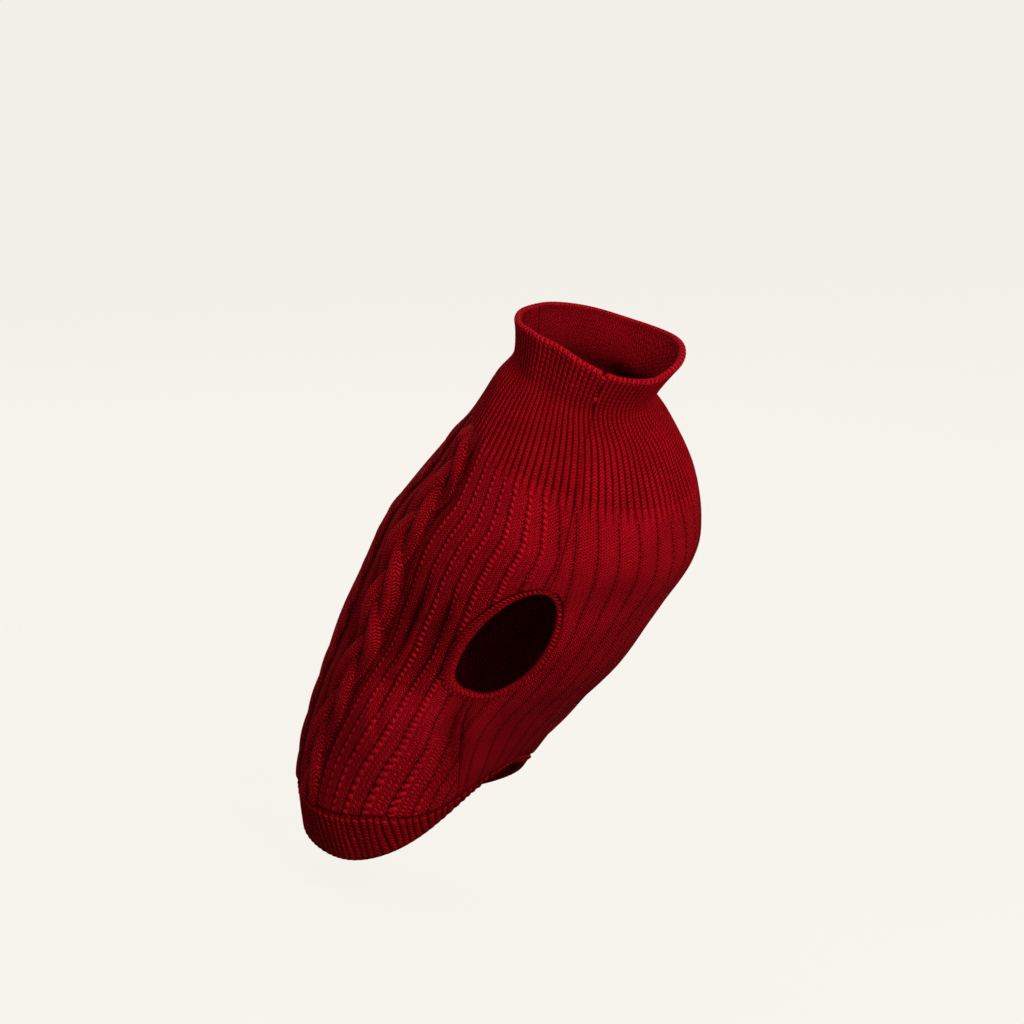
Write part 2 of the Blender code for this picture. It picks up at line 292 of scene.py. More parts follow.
def narrow_ribs(rib, depth):
    """Lift and tone of narrow ribs: a raised column at every whole number and a close groove between, with
    painted light on the columns and painted shade in the grooves.
    """
    crest = wave(rib, 0.5)
    return depth * (crest - 0.7), 0.38 + 0.18 * crest


def plait_relief(x, phase, strands, width, swing, over):
    """Strands crossing in a plait of half width 1.

    Returns the lift of the highest strand, and where each point lies across that strand."""
    best = np.full(x.shape, -1.0)
    place = np.zeros(x.shape)
    for k in range(strands):
        angle = phase + 2 * math.pi * k / strands
        off = (x - swing * np.sin(angle)) / width
        body = np.sqrt(np.clip(1 - off**2, 0, 1))
        rise = 0.5 + 0.5 * (np.sin(2 * angle) if over == "plait" else np.cos(angle))
        height = np.where(np.abs(off) < 1, 0.38 * body + 0.62 * rise * body**0.5, -1.0)
        place = np.where(height > best, off, place)
        best = np.maximum(best, height)
    return best, place


def cable(x, along, repeat, strands, width, swing, over, tall):
    """A cable's lift, tone and wale, over x from -1 to 1 across it; the tone is painted light on the strand
    on top and painted shade in the hollows round it.
    """
    best, place = plait_relief(x, 2 * np.pi * along / repeat, strands, width, swing, over)
    inside = best > -0.5
    height = np.clip(best, 0, 1)
    lift = np.where(inside, tall * height - 0.0007, -0.0018)
    tone = np.where(inside, 0.16 + 0.50 * height * np.sqrt(np.clip(1 - 0.8 * place**4, 0, 1)), 0.16)
    return lift, tone, place * 1.5 + 0.5


def braid_side(T, signed, plait, along):
    """Everything from the spine to the plait's gutter. Returns lift, tone and wale."""
    inner = plait - BRAID_HALF - 1.2
    share = T / inner
    wale = share * inner / WALE_TURN
    lift, tone = np.full(T.shape, 0.0004), np.full(T.shape, 0.52)
    # Gutters down the cable side, with painted shade in them.
    for at, width in ((1.0, 0.026), (0.865, 0.024), (0.600, 0.024), (0.235, 0.032)):
        deep = np.exp(-(((share - at) / width) ** 2))
        lift, tone = lift - 0.0018 * deep, tone - 0.34 * deep
    cables = (
        ((share - 0.732) / 0.115, along, ROPE_REPEAT, 2, 0.56, 0.44, "rope", 0.0040),
        (signed / (0.205 * inner), along + 0.02, BRAID_REPEAT, 3, 0.38, 0.62, "plait", 0.0055),
        ((T - plait) / BRAID_HALF, along, BRAID_REPEAT, 3, 0.40, 0.60, "plait", 0.0090),
    )
    start = smooth_step((along - JOIN) / 0.025)
    for x, *shape in cables:
        found = cable(x, *shape)
        here = np.abs(x) < 1
        lift = np.where(here, found[0] * start, lift)
        tone = np.where(here, found[1], tone)
        wale = np.where(here, found[2], wale)
    # The gutter beside the plait, with painted shade in it.
    beside = T > plait + BRAID_HALF
    lift = np.where(beside, -0.0008, lift)
    tone = np.where(beside, 0.36, tone)
    wale = np.where(beside, (T - plait - BRAID_HALF) / WALE_TURN, wale)
    return lift, tone, wale


def seam_dip(distance, reach=0.003, depth=0.0016):
    return -depth * np.exp(-((distance / reach) ** 2))


def knitted(along, turn, lift, tone, **named):
    """The values of one knit, with what it leaves out set to plain stocking stitch."""
    plain = dict.fromkeys(("rib", "ladder", "fine_rib", "fine", "bead"), along * 0)
    plain["wale"] = np.degrees(turn) / WALE_TURN
    plain["row"] = along / ROW
    return {**plain, **named, "lift": lift, "tone": tone}


def under_collar(along, turn, lift, tone, share):
    """The collar's narrow ribs run on a little way into a panel. Returns lift, tone, fine_rib and fine."""
    fine = share * (1 - smooth_step((along - JOIN) / RUN_ON))
    fine_rib = turn * RIBS_ROUND_COLLAR / (2 * np.pi)
    ribs, rib_tone = narrow_ribs(fine_rib, 0.0022)
    return lift * (1 - fine) + ribs * fine, tone * (1 - fine) + rib_tone * fine, fine_rib + 0.5, fine


def back_knit(along, turn):
    signed = np.degrees(turn)
    side = np.sign(signed + NUDGE)
    T = np.abs(signed)
    T = T + 0.45 * uneven(along, side * 2.0, 0.8) * smooth_step((T - 8) / 10)
    T = T + 0.16 * np.sin(along * 210 + 0.9 * T) * smooth_step((T - 80) / 8)
    tracks = through(along, *columns_of(TRACKS))
    plait, edge = tracks[..., 0], tracks[..., 1]
    row = along / ROW + ROW_DRIFT * uneven(along, turn)
    position = (T - tracks[..., -1]) / RIB_STEP + 6
    for k in range(6):
        low, high = tracks[..., k + 1], tracks[..., k + 2]
        position = np.where((T >= low) & (T < high), k + (T - low) / (high - low), position)
    lift, tone = wide_ribs(position, row, 1.0)
    # Drawn together behind the leg, the wool stands in soft pleats, under painted shade that is deepest in
    # the pleats' hollows.
    down, round_side = (along - GATHER_ALONG) / GATHER_LENGTH, (T - GATHER_TURN) / GATHER_SPREAD
    gathered = np.exp(-(down**2) - round_side**2)
    pleat = wave(position, 1.6)
    lift = lift + gathered * (0.0004 - 0.0030 * pleat)
    tone = tone - gathered * (0.15 + 0.12 * pleat)
    inside = T < edge
    inner_lift, inner_tone, inner_wale = braid_side(T, signed, plait, along)
    # The gutter at the edge of the cable side, with painted shade in it.
    deep = np.exp(-(((T - edge) / 0.9) ** 2))
    lift = np.where(inside, inner_lift - 0.0012 * deep, lift)
    tone = np.where(inside, inner_tone - 0.2 * deep, tone)
    wale = np.where(inside, inner_wale, position * WALES + 0.5 + 7)
    lift, tone, fine_rib, fine = under_collar(along, turn, lift, tone, smooth_step((T - 62) / 14))
    open_ladder = np.where(inside, 0.0, 1 - fine)
    counts = {"wale": wale, "row": row, "rib": np.maximum(position, 0), "fine_rib": fine_rib}
    bead = open_ladder * (1 - smooth_step((T - BEADS_END) / BEADS_FADE))
    return knitted(along, turn, lift, tone, **counts, ladder=open_ladder, fine=fine, bead=bead)


def chest_knit(along, turn):
    away = np.abs(np.degrees(turn) - 180.0)
    draw = through(along, *columns_of(CHEST_DRAW))[..., 0]
    flat = away / draw
    gutters = 180.0 - np.array(CHEST_GUTTERS[::-1])
    position = (flat - gutters[-1]) / 10.5 + 5
    for k in range(5):
        low, high = gutters[k], gutters[k + 1]
        position = np.where((flat >= low) & (flat < high), k + (flat - low) / (high - low), position)
    row = along / ROW + ROW_DRIFT * uneven(along, turn)
    lift, tone = wide_ribs(position, row, 0.0)
    # Painted shade under the belly, darker further along.
    tone = tone - 0.12 * smooth_step((along - 0.29) / 0.12)
    lift, tone, fine_rib, fine = under_collar(along, turn, lift, tone, 1.0)
    counts = {"wale": position * WALES + 0.5, "row": row, "rib": position, "fine_rib": fine_rib}
    return knitted(along, turn, lift, tone, **counts, ladder=CHEST_LADDER * (1 - fine), fine=fine)


def collar_knit(along, turn):
    rib = turn * RIBS_ROUND_COLLAR / (2 * np.pi)
    row = along / ROW + ROW_DRIFT * uneven(along, turn)
    # Worked looser and looser towards the panels, so its grooves open there.
    lift, tone = narrow_ribs(rib, 0.0013 + 0.0005 * smooth_step((along - 0.03) / 0.08))
    seam = np.radians(through(along, *columns_of(COLLAR_SEAM))[..., 0])
    away = ((turn - seam + np.pi) % (2 * np.pi) - np.pi) * 0.11
    near = np.exp(-((away / 0.0040) ** 2))
    lift = lift * (1 - 0.5 * near) + seam_dip(away, 0.0014, 0.0016)
    # Painted shade in the seam's groove.
    tone = tone - 0.16 * np.exp(-((away / 0.0016) ** 2))
    # One stitch has pulled out into a loop beside the seam, leaving a gap above and below it, with painted
    # shade in the gaps and a painted highlight on the loop.
    for at, up, dark in SEAM_SLIPS:
        slip = np.exp(-(((along - at) / 0.0026) ** 2) - ((away / 0.0026) ** 2))
        lift = lift + up * slip
        tone = tone + dark * slip
    # A painted highlight along the rolled rim, and a little darker elsewhere.
    rim = np.exp(-((along / 0.005) ** 2))
    tone = np.clip(tone - 0.08 + 0.28 * rim, 0, 1)
    fine = np.ones(along.shape) * (1 - 0.8 * rim)
    return knitted(along, turn, lift, tone, wale=rib + 0.5, row=row, fine_rib=rib + 0.5, fine=fine)


def hem_knit(along, turn):
    top = hem_top(turn)
    start = np.maximum(along - top, 0)
    degrees = np.abs((np.degrees(turn) + 180) % 360 - 180)
    rib = degrees / 360 * RIBS_ROUND_HEM + HEM_LEAN * start / HEM_DEPTH + 0.35 * uneven(along, turn, 0.4)
    lift, tone = narrow_ribs(rib, 0.0016)
    bead = np.exp(-(((start - 0.0050) / 0.0020) ** 2))
    lift = lift + seam_dip(start, 0.0020, 0.0022) + bead * 0.0012 * wave(rib)
    # Painted shade over the band, deepest in the seam groove at its top, and a painted highlight on the bead
    # ridge.
    tone = np.clip(tone - 0.22 + bead * 0.25 - 0.3 * np.exp(-((start / 0.0018) ** 2)), 0, 1)
    counts = {"wale": rib + 0.5, "row": along / ROW, "fine_rib": rib + 0.5, "fine": along * 0 + 1}
    return knitted(along, turn, lift, tone, **counts)


# ---------------------------------------------------------------- meshes
STEP = 0.00134  # spacing of the wool's points
COARSE = 3  # the plain inner face takes every third column of points
INNER = -0.0046  # lift of the inner face
INNER_TONE = 0.42
FOLD_TONE, FOLD_DARKEST, FOLD_LIGHTEST = 38, -0.32, 0.24  # tone for each metre of fold, and its limits


def grid_faces(rows, columns, first, ring, inward):
    i = np.arange(rows - 1)[:, None]
    j = np.arange(columns if ring else columns - 1)[None, :]
    a = first + i * columns + j
    b = first + i * columns + (j + 1) % columns
    c = first + (i + 1) * columns + (j + 1) % columns
    d = first + (i + 1) * columns + j
    order = (a, b, c, d) if inward else (a, d, c, b)
    return np.stack([np.broadcast_to(x, a.shape) for x in order], -1).reshape(-1, 4)


def stitched(fine, coarse, ring, flip):
    """Triangles joining a fine row of points to one with every COARSE-th of them."""
    found = []
    count = len(coarse) if ring else len(coarse) - 1
    for j in range(count):
        near, far = coarse[j], coarse[(j + 1) % len(coarse)]
        for q in range(COARSE):
            one = fine[j * COARSE + q]
            two = fine[(j * COARSE + q + 1) % len(fine)]
            found.append((one, two, near))
        found.append((fine[((j + 1) * COARSE) % len(fine)], far, near))
    found = np.array(found)
    return found[:, ::-1] if flip else found


def points_at(along, turn, lift):
    return skin(along, turn) + lift[..., None] * outward(skin, along, turn)


def wool_piece(name, outer, inner, knit, ring):
    """One closed piece: a knitted outer face, a plain inner face, joined at every edge.

    outer and inner are (along, turn, lift) grids; knit has the outer one's other values."""
    along, turn, lift = outer
    rows, columns = along.shape
    in_along, in_turn, in_lift = inner
    in_rows, in_columns = in_along.shape
    points = np.concatenate(
        [points_at(along, turn, lift).reshape(-1, 3), points_at(in_along, in_turn, in_lift).reshape(-1, 3)]
    )
    start = rows * columns
    quads = [grid_faces(rows, columns, 0, ring, False), grid_faces(in_rows, in_columns, start, ring, True)]
    fine = np.arange(start).reshape(rows, columns)
    coarse = start + np.arange(in_rows * in_columns).reshape(in_rows, in_columns)
    strips = [stitched(fine[0], coarse[0], ring, False), stitched(fine[-1], coarse[-1], ring, True)]
    if not ring:
        strips.append(stitched(fine[:, 0], coarse[:, 0], False, True))
        strips.append(stitched(fine[:, -1], coarse[:, -1], False, False))
    mesh = bpy.data.meshes.new(name)
    faces = np.concatenate(quads).tolist() + np.concatenate(strips).tolist()
    mesh.from_pydata(points.tolist(), [], faces)
    mesh.shade_smooth()
    # The hollows of folds gather shade, and their ridges catch light.
    # This tone is painted shade and painted light; it also brightens the swells of thighs and shoulders and
    # darkens the hollows behind the elbows.
    folded = np.clip(crease_relief(along, turn) * FOLD_TONE, FOLD_DARKEST, FOLD_LIGHTEST)
    knit = {**knit, "tone": np.clip(knit["tone"] + folded, 0.02, 1)}
    within = knitted(in_along, in_turn, in_lift, in_along * 0 + INNER_TONE)
    for key in KNIT_KEYS:
        data = np.concatenate([knit[key].ravel(), within[key].ravel()])
        attribute = mesh.attributes.new(key, "FLOAT", "POINT")
        attribute.data.foreach_set("value", data.astype(np.float32))
    piece = bpy.data.objects.new(name, mesh)
    bpy.context.scene.collection.objects.link(piece)
    return piece


def counted(length, step, multiple):
    """Spans for a length at about a step, rounded to a multiple of some number."""
    return max(multiple, int(round(length / step / multiple)) * multiple)


def panel_rows(step):
    """Alongs and leg shares of a panel's rows: above, beside and below the leg hole."""
    top_spans = int(round((LEG_ALONG - LEG_HALF - JOIN) / step))
    leg_spans = int(round(2 * LEG_HALF / step))
    low_spans = int(round((HEM_ALONG - HEM_DEPTH - LEG_ALONG - LEG_HALF) / step))
    low_spans += -(top_spans + leg_spans + low_spans) % COARSE
    top = np.linspace(JOIN + SEAM_GAP / 2, LEG_ALONG - LEG_HALF, top_spans + 1)[:-1]
    even = np.linspace(0, 1, leg_spans + 1)
    share = 0.5 * even + 0.25 * (1 - np.cos(np.pi * even))
    leg = np.arccos(np.clip(1 - 2 * share, -1, 1))
    below = np.linspace(0, 1, low_spans + 1)[1:]
    return top, leg, below


def panel_grid(across, side, step):
    top, leg, below = panel_rows(step)
    low_start = LEG_ALONG + LEG_HALF
    leg_turns, leg_alongs = leg_edge(leg, side, LEG_HALF, LEG_REAR, LEG_FRONT)
    rows = np.concatenate([top, leg_alongs, low_start + below * (HEM_ALONG - HEM_DEPTH - low_start)])
    edge = seam_turn(rows)
    edge[len(top) : len(top) + len(leg)] = leg_turns
    if side == "rear":
        turn = (edge - SEAM_TURN)[:, None] * across[None, :]
    else:
        turn = math.pi - (math.pi - edge - SEAM_TURN)[:, None] * across[None, :]
    along = np.repeat(rows[:, None], len(across), axis=1)
    low = slice(len(top) + len(leg), None)
    lowest = hem_top(turn) - SEAM_GAP
    along[low] = low_start + below[:, None] * (lowest[low] - low_start)
    return along, turn


def panel_piece(name, along, turn, knit):
    wool = knit(along, turn)
    lift = wool["lift"]
    # The wool turns in a little at its edges, where it is sewn.
    place = plain_skin(along, turn)
    for edge in (0, -1):
        if abs(turn[len(turn) // 2, edge]) > 1e-3:
            away = np.linalg.norm(place - place[:, edge][:, None], axis=-1)
            lift = lift + seam_dip(away, 0.0018, 0.0014)
    lift = lift + seam_dip(np.linalg.norm(place - place[-1][None], axis=-1), 0.0022, 0.0018)
    lift = lift + seam_dip(np.linalg.norm(place - place[0][None], axis=-1), 0.0020, 0.0004)
    pick = (slice(None, None, COARSE), slice(None, None, COARSE))
    inner = (along[pick], turn[pick], np.full(along[pick].shape, INNER))
    return wool_piece(name, (along, turn, lift), inner, wool, False)


def rolled(radius, steps):
    """Alongs back from an edge and lifts, round a rolled edge from its inner face to its outer one."""
    angle = np.linspace(np.pi, 0, steps)
    return radius * (1 - np.sin(angle)), -radius + radius * np.cos(angle)


RIM_RADIUS = 0.0033
HEM_RADIUS = 0.0028
BAND_RADIUS = 0.0026
TUCK = 0.002  # the collar and the hem band run this far inside the panels' edges, so no gap shows
SETTLE = 0.006  # from a rolled edge, the inner face takes this long to reach its own lift
POINTS_PER_RIB = 6
BACK_WIDTH, CHEST_WIDTH = 0.330, 0.215  # across, for counting points
CHEST_STEP = STEP * 1.2
NOTCH_TURN, NOTCH_SPREAD, NOTCH_DEEP, NOTCH_LONG = 137.0, 1.3, 0.006, 0.03
HEM_ROWS, HEM_INNER_ROWS = 32, 12
BAND_ROWS, BAND_AROUND = 12, 420
BAND_STITCH, BAND_ROW = 0.0056, 0.0048
BAND_INNER_ROWS = [0, 4, 8, BAND_ROWS - 1]


def notched(along, turn):
    """The rim dips to a small notch where its seam reaches it."""
    notch = np.exp(-(((np.degrees(turn) - NOTCH_TURN) / NOTCH_SPREAD) ** 2))
    return along + NOTCH_DEEP * notch * np.clip(1 - along / NOTCH_LONG, 0, 1)


def build_collar():
    columns = RIBS_ROUND_COLLAR * POINTS_PER_RIB
    turns = np.linspace(0, 2 * np.pi, columns, endpoint=False)
    roll_along, roll_lift = rolled(RIM_RADIUS, 9)
    body = np.linspace(RIM_RADIUS, JOIN + TUCK, counted(JOIN, STEP, 1))[1:]
    along, turn = np.meshgrid(np.concatenate([roll_along, body]), turns, indexing="ij")
    shift = np.concatenate([roll_lift, np.zeros(len(body))])[:, None]
    wool = collar_knit(along, turn)
    ease = np.concatenate([np.linspace(0.1, 1.0, len(roll_lift)), np.ones(len(body))])[:, None]
    # The first rows stand a little thicker, as the bound edge does.
    thick = 0.0010 * np.exp(-((along / 0.006) ** 2))
    under = 0.0006 * smooth_step((along - JOIN + 0.001) / 0.002)
    lift = shift + ease * (wool["lift"] + thick) - under
    along = notched(along, turn)
    inner_rows = np.linspace(RIM_RADIUS, JOIN + TUCK, counted(JOIN, STEP * 2, 1))
    in_along, in_turn = np.meshgrid(inner_rows, turns[::COARSE], indexing="ij")
    settle = smooth_step((in_along - RIM_RADIUS) / SETTLE)
    ribs = 0.0012 * (wave(in_turn * RIBS_ROUND_COLLAR / (2 * np.pi) + 0.5, 0.7) - 0.5) * settle
    in_lift = -2 * RIM_RADIUS + (INNER - 0.0006 + 2 * RIM_RADIUS) * settle + ribs
    in_along = notched(in_along, in_turn)
    return wool_piece("collar_wool", (along, turn, lift), (in_along, in_turn, in_lift), wool, True)


def build_back(side):
    columns = counted(BACK_WIDTH, STEP, COARSE)
    across = np.linspace(0, 1, columns + 1) if side > 0 else np.linspace(-1, 0, columns + 1)
    along, turn = panel_grid(across, "rear", STEP)
    name = "back_wool_right" if side > 0 else "back_wool_left"
    return panel_piece(name, along, turn, back_knit)


def build_chest():
    columns = counted(CHEST_WIDTH, STEP, COARSE)
    across = np.linspace(1, -1, columns + 1)
    along, turn = panel_grid(across, "front", CHEST_STEP)
    return panel_piece("chest_wool", along, turn, chest_knit)


def build_hem():
    columns = RIBS_ROUND_HEM * POINTS_PER_RIB
    turns = np.linspace(0, 2 * np.pi, columns, endpoint=False)
    top = hem_top(turns)[None, :] - TUCK
    body = np.linspace(0, 1, HEM_ROWS)[:, None]
    along = top + body * (HEM_ALONG - HEM_RADIUS - top)
    roll_along, roll_lift = rolled(HEM_RADIUS, 7)
    roll_rows = (HEM_ALONG - roll_along[::-1])[:, None] + np.zeros((1, columns))
    along = np.concatenate([along[:-1], roll_rows])
    turn = np.repeat(turns[None, :], len(along), axis=0)
    shift = np.concatenate([np.zeros(HEM_ROWS - 1), roll_lift[::-1]])[:, None]
    wool = hem_knit(along, turn)
    ease = np.concatenate([np.ones(HEM_ROWS - 1), np.linspace(1.0, 0.1, len(roll_lift))])[:, None]
    lift = shift + ease * wool["lift"]
    inner_share = np.linspace(0, 1, HEM_INNER_ROWS)[:, None]
    in_turns = turns[::COARSE]
    in_top = hem_top(in_turns)[None, :] - TUCK
    in_along = in_top + inner_share * (HEM_ALONG - HEM_RADIUS - in_top)
    in_turn = np.repeat(in_turns[None, :], HEM_INNER_ROWS, axis=0)
    settle = smooth_step((HEM_ALONG - HEM_RADIUS - in_along) / SETTLE)
    in_lift = -2 * HEM_RADIUS + (INNER + 2 * HEM_RADIUS) * settle
    return wool_piece("hem_wool", (along, turn, lift), (in_along, in_turn, in_lift), wool, True)


def build_band(name, mirror):
    """Picked-up band round a leg hole, from its seam with the panels to its rolled inner edge."""
    share = np.linspace(0, 2 * np.pi, BAND_AROUND, endpoint=False)
    strip = np.linspace(0, 1, BAND_ROWS)
    gap = math.degrees(3 * SEAM_TURN)

    def loop_at(step):
        half = LEG_HALF - SEAM_GAP - BAND_END * step
        rear = LEG_REAR - gap - BAND_REAR * step
        front = LEG_FRONT - gap - BAND_FRONT * step
        rear_turn, rear_along = leg_edge(share, "rear", half, rear, front)
        front_turn, front_along = leg_edge(2 * np.pi - share, "front", half, rear, front)
        first = share <= np.pi
        return np.where(first, rear_turn, front_turn), np.where(first, rear_along, front_along)

    loops = [loop_at(step) for step in strip]
    turn = np.array([loop[0] for loop in loops])
    along = np.array([loop[1] for loop in loops])
    place = plain_skin(along, turn)
    length = np.concatenate([[0], np.cumsum(np.linalg.norm(np.diff(place[0], axis=0), axis=1))])
    stitches = round(length[-1] / BAND_STITCH)
    pitch = length / length[-1] * stitches
    width = np.linalg.norm(place[-1] - place[0], axis=-1)
    out = strip[:, None] * width[None, :]
    wale = np.repeat(pitch[None, :], len(strip), axis=0)
    row = out / BAND_ROW
    lift = 0.0005 * wave(wale + 0.5)
    hole = np.exp(-(((out - 0.0022) / 0.0016) ** 2)) * wave(wale, 2)
    lift = lift - hole * 0.0016
    # Painted shade in the holes along the band's seam.
    tone = 0.52 - 0.34 * hole
    # Rolled at the inner edge, tighter where the band is narrow.
    roll = np.minimum(BAND_RADIUS, width / 2)[None, :]
    back = np.clip((out - (width[None, :] - roll)) / roll, 0, 1)
    lift = lift * (1 - 0.6 * back) - roll * (1 - np.sqrt(np.clip(1 - back**2, 0, 1))) + 0.0008 * (1 - back)
    tuck_turn, tuck_along = turn[-1:], along[-1:]
    extra_lift = np.stack([lift[-1] - 0.0012, lift[-1] - 0.0028])
    along_all = np.concatenate([along, np.repeat(tuck_along, 2, axis=0)])
    turn_all = np.concatenate([turn, np.repeat(tuck_turn, 2, axis=0)])
    lift_all = np.concatenate([lift, extra_lift])
    wale_all = np.concatenate([wale, wale[-1:], wale[-1:]])
    row_all = np.concatenate([row, row[-1:] + 0.3, row[-1:] + 0.6])
    # Painted shade where the roll tucks under.
    tone_all = np.concatenate([tone, tone[-1:] - 0.1, tone[-1:] - 0.2])
    pick = slice(None, None, COARSE)
    in_along = along[BAND_INNER_ROWS][:, pick]
    in_turn = turn[BAND_INNER_ROWS][:, pick]
    in_lift = np.array([INNER, INNER, INNER - 0.0004, INNER - 0.0008])[:, None] + np.zeros(in_along.shape)
    in_lift[-1] = lift_all[-1][pick] - 0.0006
    grids = [along_all, turn_all * mirror, lift_all, wale_all, row_all, tone_all]
    grids += [in_along, in_turn * mirror, in_lift]
    if mirror > 0:
        # Keeps the first point first, so that the inner points still match every third outer one.
        grids = [np.concatenate([g[:, :1], g[:, :0:-1]], axis=1) for g in grids]
    along_all, turn_all, lift_all, wale_all, row_all, tone_all, in_along, in_turn, in_lift = grids
    wool = knitted(along_all, turn_all, lift_all, tone_all, wale=wale_all, row=row_all)
    return wool_piece(name, (along_all, turn_all, lift_all), (in_along, in_turn, in_lift), wool, True)


# ---------------------------------------------------------------- wool
# The red wool in painted shade, in between and in painted light; random tufts and mottling also move the wool
# between them.
DARK_WOOL, MID_WOOL, LIGHT_WOOL = (0.065, 0.0002, 0.0004), (0.285, 0.0008, 0.0031), (0.700, 0.0058, 0.0215)
SHEEN_TINT = (0.90, 0.02, 0.04)
LADDER_WIDTH, GROOVE_WIDTH = 0.065, 0.15  # in ribs
DRIFT_SCALE, FIBRE_SCALE, TUFT_SCALE, MOTTLE_SCALE = 170.0, 1600.0, 420.0, 28.0
BUMP_DEPTH = 0.0015
STITCH_SHADE, TUFT_SHADE, MOTTLE_SHADE = 1.10, 0.50, 0.30  # how far each moves the wool between its colours


def wool_material(name, dark, mid, light):
    material = bpy.data.materials.new(name)
    material.use_nodes = True
    nodes, links = material.node_tree.nodes, material.node_tree.links
    surface = nodes["Principled BSDF"]

    def attribute(key):
        node = nodes.new("ShaderNodeAttribute")
        node.attribute_name = key
        return node.outputs["Fac"]

    def maths(kind, one, two=None, clamp=False):
        node = nodes.new("ShaderNodeMath")
        node.operation = kind
        node.use_clamp = clamp
        for socket, value in zip(node.inputs, (one, two)):
            if value is None:
                continue
            if isinstance(value, (int, float)):
                socket.default_value = value
            else:
                links.new(value, socket)
        return node.outputs[0]

    place = nodes.new("ShaderNodeTexCoord").outputs["Object"]

    def noise(scale, detail, roughness):
        node = nodes.new("ShaderNodeTexNoise")
        node.inputs["Scale"].default_value = scale
        node.inputs["Detail"].default_value = detail
        node.inputs["Roughness"].default_value = roughness
        links.new(place, node.inputs["Vector"])
        return node.outputs["Fac"]

    def crest(count):
        """0 to 1, highest at each whole count."""
        turned = maths("COSINE", maths("MULTIPLY", count, 2 * math.pi))
        return maths("ADD", maths("MULTIPLY", turned, 0.5), 0.5)

    def near_whole(count, at, reach):
        """1 where the count's part is at a place, falling to 0 a reach away."""
        part = maths("FRACT", maths("ADD", count, 0.5 - at))
        off = maths("DIVIDE", maths("SUBTRACT", part, 0.5), reach)
        return maths("EXPONENT", maths("MULTIPLY", maths("MULTIPLY", off, off), -1.0))

    # No two stitches are quite alike.
    drift = maths("SUBTRACT", noise(DRIFT_SCALE, 1.0, 0.5), 0.5)
    wale = maths("ADD", attribute("wale"), maths("MULTIPLY", drift, 0.45))
    row = maths("ADD", attribute("row"), maths("MULTIPLY", drift, -0.6))
    tone = attribute("tone")
    # Each stitch is a V: two slanting legs either side of the middle of its wale.
    side = maths("MULTIPLY", maths("ABSOLUTE", maths("SUBTRACT", maths("FRACT", wale), 0.5)), 2.0)
    slanted = maths("SUBTRACT", row, maths("MULTIPLY", side, 1.0))
    leg = maths("ADD", maths("MULTIPLY", maths("SINE", maths("MULTIPLY", side, math.pi)), 0.6), 0.4)
    stitch = maths("MULTIPLY", crest(slanted), leg)
    # Bead columns bulge once every second row.
    bead_share = maths("MULTIPLY", near_whole(attribute("rib"), BEAD_AT, BEAD_REACH), attribute("bead"))
    leaning = maths("MULTIPLY", maths("FRACT", attribute("rib")), 0.6)
    bead = maths("MULTIPLY", crest(maths("SUBTRACT", maths("MULTIPLY", row, 0.5), leaning)), 1.4)
    stitch = maths("ADD", stitch, maths("MULTIPLY", bead_share, maths("SUBTRACT", bead, stitch)))
    # Ladder lines are dark with painted shade, with a hole at every second row; narrow grooves are plain,
    # with lighter painted shade.
    rung = maths("ADD", maths("MULTIPLY", crest(maths("ADD", maths("MULTIPLY", row, 0.5), 0.5)), 0.88), 0.10)
    ladder = maths("MULTIPLY", near_whole(attribute("rib"), 0.0, LADDER_WIDTH), attribute("ladder"))
    ladder = maths("MULTIPLY", ladder, rung)
    fine = attribute("fine")
    groove = maths("MULTIPLY", near_whole(attribute("fine_rib"), 0.0, GROOVE_WIDTH), fine)
    hollow = maths("ADD", maths("MULTIPLY", ladder, 0.8), maths("MULTIPLY", groove, 0.36), clamp=True)
    # Ribs drawn in close show less of each stitch.
    flatter = maths("MULTIPLY", maths("SUBTRACT", stitch, 0.42), maths("MULTIPLY", fine, -0.48))
    stitch = maths("SUBTRACT", maths("ADD", stitch, flatter), maths("MULTIPLY", hollow, 1.0))

    fibre = noise(FIBRE_SCALE, 2.0, 0.7)
    tuft = noise(TUFT_SCALE, 3.0, 0.6)
    mottle = noise(MOTTLE_SCALE, 3.0, 0.55)
    height = maths("ADD", stitch, maths("ADD", maths("MULTIPLY", fibre, 0.45), maths("MULTIPLY", tuft, 0.60)))
    bump = nodes.new("ShaderNodeBump")
    bump.inputs["Strength"].default_value = 1.0
    bump.inputs["Distance"].default_value = BUMP_DEPTH
    links.new(height, bump.inputs["Height"])
    links.new(bump.outputs["Normal"], surface.inputs["Normal"])
    # The wool's colour: the tone's painted shade and light, painted shade in each stitch's gaps and painted
    # light on its legs, and random tufts and mottling.
    shade = maths("ADD", tone, maths("MULTIPLY", maths("SUBTRACT", stitch, 0.35), STITCH_SHADE))
    shade = maths("ADD", shade, maths("MULTIPLY", maths("SUBTRACT", tuft, 0.5), TUFT_SHADE))
    shade = maths("ADD", shade, maths("MULTIPLY", maths("SUBTRACT", mottle, 0.5), MOTTLE_SHADE), clamp=True)
    ramp = nodes.new("ShaderNodeValToRGB")
    ramp.color_ramp.elements[0].position = 0.05
    ramp.color_ramp.elements[0].color = (*dark, 1)
    ramp.color_ramp.elements[1].position = 0.95
    ramp.color_ramp.elements[1].color = (*light, 1)
    middle = ramp.color_ramp.elements.new(0.5)
    middle.color = (*mid, 1)
    links.new(shade, ramp.inputs["Fac"])
    links.new(ramp.outputs["Color"], surface.inputs["Base Color"])
    surface.inputs["Roughness"].default_value = 0.92
    surface.inputs["Specular IOR Level"].default_value = 0.04
    surface.inputs["Sheen Weight"].default_value = 0.05
    surface.inputs["Sheen Roughness"].default_value = 0.45
    surface.inputs["Sheen Tint"].default_value = (*SHEEN_TINT, 1)
    return material


